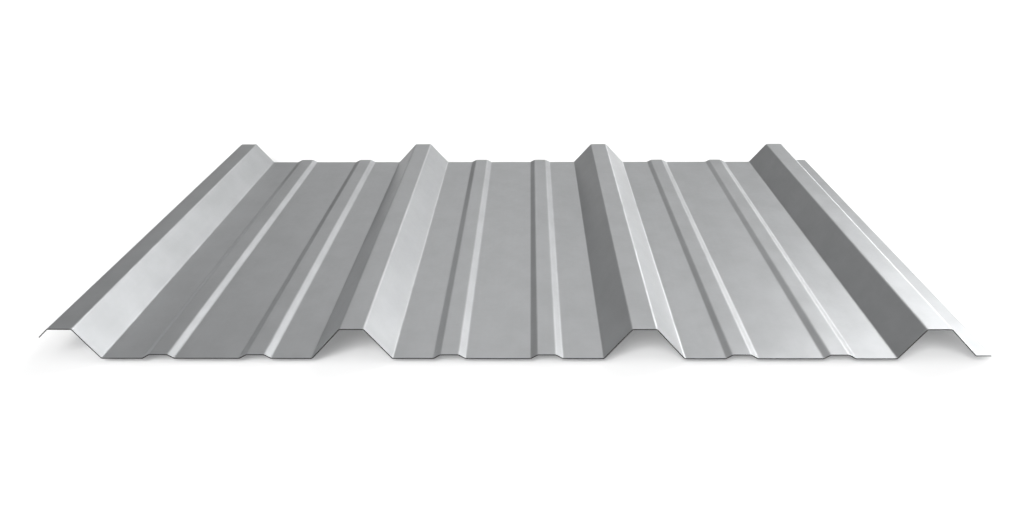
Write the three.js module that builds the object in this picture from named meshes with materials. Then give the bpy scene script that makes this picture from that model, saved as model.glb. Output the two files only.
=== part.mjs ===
// A trapezoidal-rib roof and wall panel: one sheet of zinc-coated steel, roll-formed along its
// length and cut square at both ends. It lies flat, ribs up.
//
// Millimetres, +Z up, ribs along Y. The origin is on the underside of the pans, midway along
// the sheet and midway across its cover width (from the first rib's centre to the last one's).

import * as THREE from 'three';

// ---- The sheet -----------------------------------------------------------------------------

const sheetLength = 1040;
const sheetThickness = 0.8;

// ---- Main ribs: webs that lean inwards to a flat top. Widths run between the corners where
//      the flats would meet at mid thickness, and heights from underside to underside. --------

const ribCount = 4;
const ribPitch = 304.8;
const ribHeight = 31.75;
const ribTopWidth = 25.4;
const ribWebRun = 29.35;          // how far a web leans over its full height
const ribInsideRadius = 2.6;

// ---- Stiffening ribs: the low, soft waves that share out each pan between two main ribs -----

const stiffenersPerPan = 2;
const stiffenerHeight = 4;
const stiffenerTopWidth = 19;
const stiffenerSlopeRun = 7.15;
const stiffenerInsideRadius = 4.6;

// ---- Side laps: the first rib ends in a short lip that grips the neighbouring sheet's last
//      rib; the last rib ends in a foot that carries that lap on the purlin -------------------

const lipLength = 12.7;
const lipSlope = 45;              // degrees below level
const footWidth = 15.9;
const footRise = 3.2;             // the foot's underside above the pans' underside

// ---- Facets in each half of a bend ---------------------------------------------------------

const facetsPerHalfBend = 3;

// ---- The folded line, along the middle of the sheet's thickness ----------------------------

const panLevel = sheetThickness / 2;
const ribTopLevel = panLevel + ribHeight;
const ribBendRadius = ribInsideRadius + sheetThickness / 2;
const stiffenerBendRadius = stiffenerInsideRadius + sheetThickness / 2;
const firstRibX = (-ribPitch * (ribCount - 1)) / 2;
const lastRibX = -firstRibX;

// A corner of the line: where two flats would meet, and the radius of the bend between them.
function corner(x, z, bendRadius) {
  return { at: new THREE.Vector2(x, z), bendRadius };
}

function ribTop(ribX) {
  return [
    corner(ribX - ribTopWidth / 2, ribTopLevel, ribBendRadius),
    corner(ribX + ribTopWidth / 2, ribTopLevel, ribBendRadius),
  ];
}

function stiffener(x) {
  const topEdge = stiffenerTopWidth / 2;
  const baseEdge = topEdge + stiffenerSlopeRun;
  return [
    corner(x - baseEdge, panLevel, stiffenerBendRadius),
    corner(x - topEdge, panLevel + stiffenerHeight, stiffenerBendRadius),
    corner(x + topEdge, panLevel + stiffenerHeight, stiffenerBendRadius),
    corner(x + baseEdge, panLevel, stiffenerBendRadius),
  ];
}

// The pan between the rib at ribX and the next one, from web to web.
function pan(ribX) {
  const webFoot = ribTopWidth / 2 + ribWebRun;
  const spacing = ribPitch / (stiffenersPerPan + 1);
  const corners = [corner(ribX + webFoot, panLevel, ribBendRadius)];
  for (let i = 1; i <= stiffenersPerPan; i++) {
    corners.push(...stiffener(ribX + i * spacing));
  }
  corners.push(corner(ribX + ribPitch - webFoot, panLevel, ribBendRadius));
  return corners;
}

// The free edge of the lip that turns down from the first rib's top.
function lipEdge() {
  const slope = THREE.MathUtils.degToRad(lipSlope);
  const x = firstRibX - ribTopWidth / 2 - lipLength * Math.cos(slope);
  return corner(x, ribTopLevel - lipLength * Math.sin(slope), 0);
}

// The foot turns out where the last rib's outer web has come down to the foot's level.
function foot() {
  const level = panLevel + footRise;
  const webRun = (ribWebRun * (ribHeight - footRise)) / ribHeight;
  const heelX = lastRibX + ribTopWidth / 2 + webRun;
  return [corner(heelX, level, ribBendRadius), corner(heelX + footWidth, level, 0)];
}

function foldedLine() {
  const corners = [lipEdge()];
  for (let rib = 0; rib < ribCount; rib++) {
    const ribX = firstRibX + rib * ribPitch;
    corners.push(...ribTop(ribX));
    if (rib < ribCount - 1) {
      corners.push(...pan(ribX));
    }
  }
  corners.push(...foot());
  return corners;
}

// ---- The section: both faces of the sheet, half a thickness either side of the folded line --

const UPPER = 1;
const LOWER = -1;

function leftOf(direction) {
  return new THREE.Vector2(-direction.y, direction.x);
}

// The round stretch of one face at a corner, concentric with that of the other face.
function bendArc(previous, bend, next, face) {
  const into = bend.at.clone().sub(previous.at).normalize();
  const outOf = next.at.clone().sub(bend.at).normalize();
  const turn = Math.sign(into.cross(outOf)); // 1 where the sheet bends up, -1 where down
  const setback = bend.bendRadius * Math.tan(into.angleTo(outOf) / 2);
  const centre = bend.at
    .clone()
    .addScaledVector(into, -setback)
    .addScaledVector(leftOf(into), turn * bend.bendRadius);
  return {
    centre,
    radius: bend.bendRadius - (turn * face * sheetThickness) / 2,
    start: leftOf(into).multiplyScalar(-turn).angle(),
    end: leftOf(outOf).multiplyScalar(-turn).angle(),
    clockwise: turn < 0,
  };
}

function bendArcs(corners, face) {
  return corners
    .slice(1, -1)
    .map((bend, i) => bendArc(corners[i], bend, corners[i + 2], face));
}

// One corner of a free edge, which is cut square to the sheet. Across is +X along the flat.
function edgeCorner(edge, across, face) {
  return edge.at.clone().addScaledVector(leftOf(across), (face * sheetThickness) / 2);
}

function sheetSection() {
  const corners = foldedLine();
  const [lip, lipBend] = corners;
  const [heel, toe] = corners.slice(-2);
  const alongLip = lipBend.at.clone().sub(lip.at).normalize();
  const alongFoot = toe.at.clone().sub(heel.at).normalize();

  const section = new THREE.Shape();
  section.moveTo(...edgeCorner(lip, alongLip, LOWER));
  section.lineTo(...edgeCorner(lip, alongLip, UPPER));
  for (const { centre, radius, start, end, clockwise } of bendArcs(corners, UPPER)) {
    section.absarc(centre.x, centre.y, radius, start, end, clockwise);
  }
  section.lineTo(...edgeCorner(toe, alongFoot, UPPER));
  section.lineTo(...edgeCorner(toe, alongFoot, LOWER));
  for (const { centre, radius, start, end, clockwise } of bendArcs(corners, LOWER).reverse()) {
    section.absarc(centre.x, centre.y, radius, end, start, !clockwise);
  }
  section.closePath();
  return section;
}

// ---- The sheet, rolled out along Y ---------------------------------------------------------

const zincSteel = new THREE.MeshStandardMaterial({
  name: 'zinc_steel',
  color: 0xa9acae,
  roughness: 0.4,
  metalness: 0.9,
});

function ribbedSheet() {
  const geometry = new THREE.ExtrudeGeometry(sheetSection(), {
    depth: sheetLength,
    bevelEnabled: false,
    curveSegments: facetsPerHalfBend,
  });
  const mesh = new THREE.Mesh(geometry, zincSteel);
  mesh.name = 'ribbed_sheet';
  mesh.rotation.x = Math.PI / 2;
  mesh.position.y = sheetLength / 2;
  return mesh;
}

const panel = new THREE.Group();
panel.name = 'trapezoidal_rib_panel';
panel.add(ribbedSheet());

export default panel;
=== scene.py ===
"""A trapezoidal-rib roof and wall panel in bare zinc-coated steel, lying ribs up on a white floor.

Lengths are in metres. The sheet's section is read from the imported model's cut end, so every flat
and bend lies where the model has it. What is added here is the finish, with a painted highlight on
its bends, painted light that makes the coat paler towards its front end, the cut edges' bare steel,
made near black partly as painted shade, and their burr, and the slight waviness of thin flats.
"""

import math

import bmesh
import bpy
import numpy as np
from mathutils import Matrix, Vector, noise


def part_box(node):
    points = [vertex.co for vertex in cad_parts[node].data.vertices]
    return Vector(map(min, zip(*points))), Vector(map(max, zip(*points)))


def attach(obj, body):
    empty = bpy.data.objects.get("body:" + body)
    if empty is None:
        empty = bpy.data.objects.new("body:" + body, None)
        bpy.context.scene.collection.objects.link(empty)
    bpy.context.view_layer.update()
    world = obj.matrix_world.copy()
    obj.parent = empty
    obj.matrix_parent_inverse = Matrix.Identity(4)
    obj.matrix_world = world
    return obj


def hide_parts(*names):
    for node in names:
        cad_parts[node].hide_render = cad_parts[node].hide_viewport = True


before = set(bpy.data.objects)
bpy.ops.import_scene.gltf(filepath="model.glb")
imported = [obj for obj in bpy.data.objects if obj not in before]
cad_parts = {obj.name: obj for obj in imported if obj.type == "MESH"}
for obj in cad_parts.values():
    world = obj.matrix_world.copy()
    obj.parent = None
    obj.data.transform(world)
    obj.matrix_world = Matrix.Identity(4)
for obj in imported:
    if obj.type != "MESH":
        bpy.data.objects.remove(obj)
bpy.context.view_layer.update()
bpy.context.scene.view_settings.view_transform = "Standard"


# ---- Camera --------------------------------------------------------------------------------

LENS = 0.050
FILM_WIDTH = 0.036
EYE = Vector((0.0334, -1.9239, 0.4898))
LOOKS_DOWN = math.radians(15.098)
TURNED_LEFT = math.radians(0.754)
TILTED_RIGHT = math.radians(0.208)
SEES_AS_FAR_AS = 50


def set_up_camera():
    data = bpy.data.cameras.new("camera")
    data.lens = LENS * 1000
    data.sensor_width = FILM_WIDTH * 1000
    data.clip_end = SEES_AS_FAR_AS
    camera = bpy.data.objects.new("camera", data)
    camera.matrix_world = (
        Matrix.Translation(EYE)
        @ Matrix.Rotation(TURNED_LEFT, 4, "Z")
        @ Matrix.Rotation(math.pi / 2 - LOOKS_DOWN, 4, "X")
        @ Matrix.Rotation(-TILTED_RIGHT, 4, "Z")
    )
    bpy.context.scene.collection.objects.link(camera)
    bpy.context.scene.camera = camera


# ---- Shader maths --------------------------------------------------------------------------

class Value:
    """A number that varies over a surface: a shader socket that Python's operators work on."""

    def __init__(self, shader, output):
        self.shader = shader
        self.output = output

    def _math(self, operation, *values, clamp=False):
        settings = {"operation": operation, "use_clamp": clamp}
        return self.shader.node("ShaderNodeMath", settings, dict(enumerate(values)))["Value"]

    def __add__(self, other):
        return self._math("ADD", self, other)

    __radd__ = __add__

    def __sub__(self, other):
        return self._math("SUBTRACT", self, other)

    def __rsub__(self, other):
        return self._math("SUBTRACT", other, self)

    def __mul__(self, other):
        return self._math("MULTIPLY", self, other)

    __rmul__ = __mul__

    def __truediv__(self, other):
        return self._math("DIVIDE", self, other)

    def clamped(self):
        return self._math("ADD", self, 0.0, clamp=True)

    def size(self):
        return self._math("ABSOLUTE", self)

    def exponential(self):
        return self._math("EXPONENT", self)

    def arcsine(self):
        """In degrees."""
        return self._math("DEGREES", self._math("ARCSINE", self))

    def angle_with(self, other):
        """The angle, in degrees, whose tangent is this over the other."""
        return self._math("DEGREES", self._math("ARCTAN2", self, other))

    def rising(self, low, high):
        """From 0 at low to 1 at high, smoothly."""
        inputs = {"Value": self, "From Min": low, "From Max": high}
        settings = {"interpolation_type": "SMOOTHSTEP"}
        return self.shader.node("ShaderNodeMapRange", settings, inputs)["Result"]

    def between(self, low, high, softness):
        """1 from low to high and 0 outside, with soft edges."""
        start = self.rising(low - softness, low + softness)
        return start * (1 - self.rising(high - softness, high + softness))

    def or_more(self, other):
        return self._math("MAXIMUM", self, other)


class Node:
    """A shader node whose outputs come by name, as values."""

    def __init__(self, shader, node):
        self.shader = shader
        self.node = node

    def __getitem__(self, name):
        return Value(self.shader, next(s for s in self.node.outputs if s.name == name and s.enabled))


class Shader:
    """The node tree of one material or of the world."""

    def __init__(self, owner):
        owner.use_nodes = True
        self.tree = owner.node_tree
        self.tree.nodes.clear()

    def node(self, kind, settings=None, inputs=None):
        """Adds a node. Its settings are set first, and its inputs go by name or by place."""
        made = self.tree.nodes.new(kind)
        for name, setting in (settings or {}).items():
            setattr(made, name, setting)
        for name, value in (inputs or {}).items():
            socket = made.inputs[name] if isinstance(name, int) else enabled_input(made, name)
            if isinstance(value, Value):
                self.tree.links.new(value.output, socket)
            else:
                socket.default_value = value
        return Node(self, made)

    def mix(self, factor, first, second):
        """A colour between first and second."""
        inputs = {"Factor": factor, "A": first, "B": second}
        return self.node("ShaderNodeMix", {"data_type": "RGBA"}, inputs)["Result"]

    def noise(self, where, scale, detail=2.0, roughness=0.5):
        inputs = {"Vector": where, "Scale": scale, "Detail": detail, "Roughness": roughness}
        return self.node("ShaderNodeTexNoise", {}, inputs)["Fac"]

    def stretched(self, where, scale):
        """The same place with its axes stretched, for patterns that run one way."""
        inputs = {0: where, 1: scale}
        return self.node("ShaderNodeVectorMath", {"operation": "MULTIPLY"}, inputs)["Vector"]

    def axes(self, where):
        """A place or a direction as its X, Y and Z."""
        return self.node("ShaderNodeSeparateXYZ", {}, {"Vector": where})


def enabled_input(node, name):
    return next(s for s in node.inputs if s.name == name and s.enabled)


def grey(level):
    return (level, level, level, 1.0)


# ---- Finishes ------------------------------------------------------------------------------

ZINC = (0.355, 0.364, 0.370, 1.0)
# the pale of the mottle, and of the painted light towards the front end
ZINC_PALE_AND_PAINTED_LIGHT = (0.466, 0.476, 0.486, 1.0)
# the colour of the painted highlight on the bends
ZINC_PAINTED_HIGHLIGHT = (0.73, 0.74, 0.75, 1.0)
ZINC_ROUGHNESS = 0.33
# bare steel of the cut edges, near black: partly its own colour, partly painted shade
SHEARED_STEEL_AND_SHADE = (0.016, 0.0165, 0.017, 1.0)
SHEARED_STEEL_AND_SHADE_PALE = grey(0.03)

# How many of each there are in a metre. X is across the sheet, and Y along it.
SPANGLES = 260.0
CLOUDS = 26.0
CLOUD_STRETCH = (1.0, 0.5, 1.0)
ROLLING_LINES = (260.0, 3.0, 260.0)
# the patches that break up the painted highlight on the bends
PAINTED_HIGHLIGHT_PATCHES = (60.0, 14.0, 60.0)
SWELLS = 15.0
SWELL_STRETCH = (1.0, 0.45, 1.0)
SHEAR_STREAKS = (1800.0, 1800.0, 200.0)

SWELL_HEIGHT = 0.0007    # of the coat's slow rise and fall
RELIEF_HEIGHT = 0.0002   # of the spangle and the rolling lines
PAINTED_LIGHT_PALEST_AT = -0.55        # painted light: along the sheet, the coat is palest at its front end
PAINTED_LIGHT_DARKEST_AT = 0.55        # and darkest at its back end
PAINTED_HIGHLIGHT_STARTS = -0.35   # across the sheet, the painted highlight on the bends starts on the lip's side
PAINTED_HIGHLIGHT_FULL = 0.15      # and is full from here to the foot


def zinc_coat():
    """Bright zinc: fine spangle, cloudy patches, lines along the rolling, painted light that makes
    it paler towards the front end, and a painted highlight on the bends.
    """
    material = bpy.data.materials.new("zinc_steel")
    shader = Shader(material)
    place = shader.node("ShaderNodeTexCoord")["Object"]
    axes = shader.axes(place)

    spangle = shader.node("ShaderNodeTexVoronoi", {}, {"Vector": place, "Scale": SPANGLES})["Color"]
    grain = shader.node("ShaderNodeSeparateColor", {}, {"Color": spangle})["Red"]
    clouds = shader.noise(shader.stretched(place, CLOUD_STRETCH), CLOUDS, detail=5.0, roughness=0.62)
    rolling = shader.noise(shader.stretched(place, ROLLING_LINES), 1.0)

    mottle = grain * 0.08 + clouds.rising(0.28, 0.72) * 0.68 + rolling * 0.24
    # painted light: the coat is made paler towards the sheet's front end and darker towards its back
    painted_light_towards_front = 1 - axes["Y"].rising(PAINTED_LIGHT_PALEST_AT, PAINTED_LIGHT_DARKEST_AT)
    mottle_and_painted_light = (mottle * 0.6 + painted_light_towards_front * 0.4).clamped()
    dull = shader.mix(mottle_and_painted_light, ZINC, ZINC_PALE_AND_PAINTED_LIGHT)

    # painted highlight: the bends are made paler in patches, most on bends that fall towards the
    # foot and towards the foot's side
    bends = shader.node("ShaderNodeAttribute", {"attribute_name": PAINTED_HIGHLIGHT_ATTRIBUTE})["Fac"]
    patches = shader.noise(shader.stretched(place, PAINTED_HIGHLIGHT_PATCHES), 1.0, detail=3.0)
    towards_foot = axes["X"].rising(PAINTED_HIGHLIGHT_STARTS, PAINTED_HIGHLIGHT_FULL)
    painted_highlight_share = bends * patches.rising(0.15, 0.55) * towards_foot
    colour = shader.mix(painted_highlight_share, dull, ZINC_PAINTED_HIGHLIGHT)

    swell = shader.noise(shader.stretched(place, SWELL_STRETCH), SWELLS, detail=3.0, roughness=0.55)
    soft = {"Strength": 1.0, "Distance": SWELL_HEIGHT, "Height": swell}
    swollen = shader.node("ShaderNodeBump", {}, soft)["Normal"]
    relief = grain * 0.3 + rolling * 0.7
    fine = {"Strength": 0.05, "Distance": RELIEF_HEIGHT, "Height": relief, "Normal": swollen}
    coat = shader.node(
        "ShaderNodeBsdfPrincipled",
        {},
        {
            "Base Color": colour,
            "Metallic": 0.85,
            "Roughness": ZINC_ROUGHNESS + grain * 0.04 + clouds * 0.06,
            "Normal": shader.node("ShaderNodeBump", {}, fine)["Normal"],
        },
    )
    shader.node("ShaderNodeOutputMaterial", {}, {"Surface": coat["BSDF"]})
    return material


def sheared_edge():
    """Bare steel where the sheet was sheared: dull and streaked through its thickness, and made near
    black, partly its own dark and partly painted shade.
    """
    material = bpy.data.materials.new("sheared_edge")
    shader = Shader(material)
    place = shader.node("ShaderNodeTexCoord")["Object"]
    streaks = shader.noise(shader.stretched(place, SHEAR_STREAKS), 1.0)
    colour = shader.mix(streaks, SHEARED_STEEL_AND_SHADE, SHEARED_STEEL_AND_SHADE_PALE)
    steel = shader.node(
        "ShaderNodeBsdfPrincipled",
        {},
        {"Base Color": colour, "Metallic": 0.7, "Roughness": 0.5 + streaks * 0.2},
    )
    shader.node("ShaderNodeOutputMaterial", {}, {"Surface": steel["BSDF"]})
    return material


# ---- The sheet -----------------------------------------------------------------------------

NODE = "ribbed_sheet"
WELD = 1e-6
EDGE_STEP = 0.0010       # the first step in from a bend or a cut end
FLAT_STEP = 0.012        # the longest step across a flat
LENGTH_STEP = 0.015      # and along the sheet
WAVE_SHARE = 0.004       # a flat's waviness, as a share of its width
LONG_WAVE = (0.11, 0.33)     # across and along the sheet
SHORT_WAVE = (0.04, 0.12)
SHORT_WAVE_SHARE = 0.4   # of the long wave's height
BURR = 0.00025           # how far the shear dragged the metal down at the cut ends

PAINTED_HIGHLIGHT_ATTRIBUTE = "painted_highlight"  # the mesh attribute that says how strong the painted highlight is on a bend
TIGHT_TURN = math.radians(9)    # from facet to facet of a bend that gets the full painted highlight
LIP_SIDE_HIGHLIGHT = 0.25   # how strong the painted highlight is on a bend that faces the lip's side, beside the others


def cut_end(node):
    """The outline of the sheet's back end, as (x, z) points in order round the metal."""
    bm = bmesh.new()
    bm.from_mesh(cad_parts[node].data)
    bmesh.ops.remove_doubles(bm, verts=bm.verts, dist=WELD)
    end_y = max(v.co.y for v in bm.verts)
    on_end = {v for v in bm.verts if v.co.y > end_y - WELD}
    neighbours = {v: [] for v in on_end}
    for edge in bm.edges:
        if not set(edge.verts) <= on_end:
            continue
        if sum(set(face.verts) <= on_end for face in edge.link_faces) == 1:
            first, second = edge.verts
            neighbours[first].append(second)
            neighbours[second].append(first)

    toe_x = max(v.co.x for v in on_end)
    toe = [v for v in on_end if v.co.x > toe_x - WELD]
    upper, lower = sorted(toe, key=lambda v: -v.co.z)
    outline = [upper]
    previous = lower
    while outline[-1] is not lower:
        here = outline[-1]
        ahead = next(v for v in neighbours[here] if v is not previous)
        previous = here
        outline.append(ahead)
    points = [(v.co.x, v.co.z) for v in outline]
    bm.free()
    return np.array(points)


def faces_of(outline):
    """The upper and lower face of the section, each from the lip to the foot, point for point."""
    half = len(outline) // 2
    return outline[:half][::-1], outline[half:]


def steps_across(width, longest):
    """Shares of a stretch at which to cut it: close to both ends, and evenly between."""
    if width < 4 * EDGE_STEP:
        return []
    edge = EDGE_STEP / width
    count = math.ceil((1 - 2 * edge) * width / longest)
    return [edge + (1 - 2 * edge) * i / count for i in range(count + 1)]


def painted_highlight_along(middle):
    """How strong the painted highlight is at each point of the section: most on tight bends towards
    the foot.
    """
    ahead = np.diff(middle, axis=0)
    headings = np.arctan2(ahead[:, 1], ahead[:, 0])
    tightness = np.minimum(np.abs(np.diff(headings)) / TIGHT_TURN, 1.0)
    falling = headings[:-1] + headings[1:] < 0
    return [0.0, *(tightness ** 2 * np.where(falling, 1.0, LIP_SIDE_HIGHLIGHT)), 0.0]


def stations(node):
    """Points across the sheet: its middle, half its thickness as a vector, waviness and painted
    highlight.
    """
    upper, lower = faces_of(cut_end(node))
    middle, half = (upper + lower) / 2, (upper - lower) / 2
    highlight_strength = painted_highlight_along(middle)
    rows = []
    for i in range(len(middle) - 1):
        rows.append((middle[i], half[i], 0.0, highlight_strength[i]))
        width = float(np.linalg.norm(middle[i + 1] - middle[i]))
        for share in steps_across(width, FLAT_STEP):
            at = middle[i] * (1 - share) + middle[i + 1] * share
            through = half[i] * (1 - share) + half[i + 1] * share
            rows.append((at, through, width * WAVE_SHARE * math.sin(math.pi * share) ** 2, 0.0))
    rows.append((middle[-1], half[-1], 0.0, highlight_strength[-1]))
    return rows


def waviness(x, y):
    """How far the rolls left a flat off true there, as a share of its wave."""
    long_wave = noise.noise(Vector((x / LONG_WAVE[0], y / LONG_WAVE[1], 0.4)))
    short_wave = noise.noise(Vector((x / SHORT_WAVE[0], y / SHORT_WAVE[1], 2.7)))
    return long_wave + SHORT_WAVE_SHARE * short_wave


def rolled_sheet(node):
    """The sheet as two skins of points, an upper and a lower, joined round all four edges."""
    low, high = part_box(node)
    length = high.y - low.y
    across = stations(node)
    along = [0.0, *steps_across(length, LENGTH_STEP), 1.0]

    bm = bmesh.new()
    painted_highlight = bm.verts.layers.float.new(PAINTED_HIGHLIGHT_ATTRIBUTE)
    grid = {1: [], -1: []}
    for share in along:
        y = low.y + length * share
        for side, rows in grid.items():
            row = []
            for middle, half, wave, highlight_strength in across:
                normal = half / np.linalg.norm(half)
                moved = wave * waviness(middle[0], y)
                if side < 0 and share in (0.0, 1.0):
                    moved -= BURR
                x, z = middle + side * half + normal * moved
                vertex = bm.verts.new((x, y, z))
                vertex[painted_highlight] = highlight_strength
                row.append(vertex)
            rows.append(row)

    upper, lower = grid[1], grid[-1]
    last_row, last_station = len(along) - 1, len(across) - 1
    for j in range(last_row):
        for i in range(last_station):
            bm.faces.new((upper[j][i], upper[j][i + 1], upper[j + 1][i + 1], upper[j + 1][i]))
            bm.faces.new((lower[j][i], lower[j + 1][i], lower[j + 1][i + 1], lower[j][i + 1]))
        for i, turn in ((0, 1), (last_station, -1)):
            rim = (upper[j][i], upper[j + 1][i], lower[j + 1][i], lower[j][i])
            bm.faces.new(rim[::turn]).material_index = 1
    for j, turn in ((0, 1), (last_row, -1)):
        for i in range(last_station):
            rim = (upper[j][i], lower[j][i], lower[j][i + 1], upper[j][i + 1])
            bm.faces.new(rim[::turn]).material_index = 1

    for face in bm.faces:
        face.smooth = True
    for edge in bm.edges:
        edge.smooth = len({face.material_index for face in edge.link_faces}) == 1

    mesh = bpy.data.meshes.new("rolled_sheet")
    bm.to_mesh(mesh)
    bm.free()
    mesh.materials.append(zinc_coat())
    mesh.materials.append(sheared_edge())
    sheet = bpy.data.objects.new("rolled_sheet", mesh)
    bpy.context.scene.collection.objects.link(sheet)
    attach(sheet, "root")
    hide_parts(node)


# ---- Floor, light and air ------------------------------------------------------------------

FLOOR_HALF = 15.0
FLOOR_DROP = 0.0055      # chosen for a soft contact shadow; the part itself lies on Z = 0
FLOOR_PAINT = grey(0.67)
FLOOR_GLOW = 0.19        # lifts the lit paint to the background's white

FRONT_LIGHT_STRENGTH = 4.0
FRONT_LIGHT_WIDTH = math.radians(28)
FRONT_LIGHT_RAISED = math.radians(26)
FRONT_LIGHT_TURNED_LEFT = math.radians(12)

SIDE_LIGHT_WATTS = 1.47
SIDE_LIGHT_SIZE = 0.5
SIDE_LIGHT_PLACE = Vector((0.7, 0.4, 0.7))
SIDE_LIGHT_AIM = Vector((0.25, -0.15, 0.0))


def white_floor():
    """A matt floor that glows white to the camera and in reflections. From below it is clear."""
    mesh = bpy.data.meshes.new("floor")
    corners = [(-1, -1), (1, -1), (1, 1), (-1, 1)]
    points = [(x * FLOOR_HALF, y * FLOOR_HALF, -FLOOR_DROP) for x, y in corners]
    mesh.from_pydata(points, [], [(0, 1, 2, 3)])
    floor = bpy.data.objects.new("floor", mesh)
    bpy.context.scene.collection.objects.link(floor)

    material = bpy.data.materials.new("white_floor")
    shader = Shader(material)
    path = shader.node("ShaderNodeLightPath")
    seen = path["Is Camera Ray"].or_more(path["Is Glossy Ray"]).or_more(path["Is Transmission Ray"])
    paint = shader.node("ShaderNodeBsdfDiffuse", {}, {"Color": FLOOR_PAINT})["BSDF"]
    white = {"Color": grey(1.0), "Strength": seen * FLOOR_GLOW}
    glow = shader.node("ShaderNodeEmission", {}, white)["Emission"]
    lit = shader.node("ShaderNodeAddShader", {}, {0: paint, 1: glow})["Shader"]
    clear = shader.node("ShaderNodeBsdfTransparent")["BSDF"]
    below = shader.node("ShaderNodeNewGeometry")["Backfacing"]
    surface = shader.node("ShaderNodeMixShader", {}, {0: below, 1: lit, 2: clear})["Shader"]
    shader.node("ShaderNodeOutputMaterial", {}, {"Surface": surface})
    mesh.materials.append(material)


def studio_air():
    """White to the camera. The sheet mirrors a dim room with two strong lamps beyond its right.

    Angles are in degrees: turned to the right from straight ahead, and raised from the horizon.
    A level of 1 is white.
    """
    world = bpy.data.worlds.new("studio")
    bpy.context.scene.world = world
    shader = Shader(world)
    direction = shader.node("ShaderNodeTexCoord")["Generated"]
    axes = shader.axes(direction)
    turned = axes["X"].angle_with(axes["Y"])
    raised = axes["Z"].arcsine()

    def round_lamp(turn, rise, spread):
        """A lamp with a soft edge: where it stands and how wide it is."""
        level = math.cos(math.radians(rise))
        centre = (
            math.sin(math.radians(turn)) * level,
            math.cos(math.radians(turn)) * level,
            math.sin(math.radians(rise)),
        )
        settings = {"operation": "DOT_PRODUCT"}
        closeness = shader.node("ShaderNodeVectorMath", settings, {0: direction, 1: centre})["Value"]
        return ((closeness - 1) / (1 - math.cos(math.radians(spread)))).exponential()

    dimmest = 0.05
    walls = 0.16 * raised.rising(2, 7)
    ceiling = 0.25 * raised.rising(50, 75)
    side_panels = 0.45 * turned.size().rising(50, 90) * raised.between(10, 60, 10)
    behind_camera = 0.25 * turned.size().rising(90, 120)
    far_left = 0.05 * (1 - turned.rising(-60, -30))
    window_behind_left = 0.90 * turned.between(-165, -125, 15) * raised.between(8, 42, 8)
    low_strip = 17.1 * (turned.between(27.4, 49.6, 2) * raised.between(10.7, 15.0, 2))
    lamp_above_it = 12.3 * round_lamp(26.7, 32.0, 8)
    weak_lamp_ahead = 1.20 * round_lamp(-1.6, 23.1, 9)

    room = dimmest + walls + ceiling + side_panels + behind_camera + far_left + window_behind_left
    room = room + low_strip + lamp_above_it + weak_lamp_ahead
    seen = shader.node("ShaderNodeLightPath")["Is Camera Ray"]
    level = room + seen * (1 - room)
    background = shader.node("ShaderNodeBackground", {}, {"Color": grey(1.0), "Strength": level})
    shader.node("ShaderNodeOutputWorld", {}, {"Surface": background["Background"]})


def hung(name, data):
    lamp = bpy.data.objects.new(name, data)
    bpy.context.scene.collection.objects.link(lamp)
    return lamp


def front_light():
    """A large soft lamp far in front, a little to the left. It lights the floor under the ribs."""
    data = bpy.data.lights.new("front_light", "SUN")
    data.energy = FRONT_LIGHT_STRENGTH
    data.angle = FRONT_LIGHT_WIDTH
    lamp = hung("front_light", data)
    lamp.rotation_euler = (math.radians(90) - FRONT_LIGHT_RAISED, 0, -FRONT_LIGHT_TURNED_LEFT)
    lamp.visible_glossy = False


def side_light():
    """A small soft box over the sheet's right side. The front right corner mirrors it."""
    data = bpy.data.lights.new("side_light", "AREA")
    data.size = SIDE_LIGHT_SIZE
    data.energy = SIDE_LIGHT_WATTS
    lamp = hung("side_light", data)
    lamp.location = SIDE_LIGHT_PLACE
    aim = SIDE_LIGHT_AIM - SIDE_LIGHT_PLACE
    lamp.rotation_euler = aim.to_track_quat("-Z", "Y").to_euler()


# ---- Making --------------------------------------------------------------------------------

set_up_camera()
rolled_sheet(NODE)
white_floor()
studio_air()
front_light()
side_light()
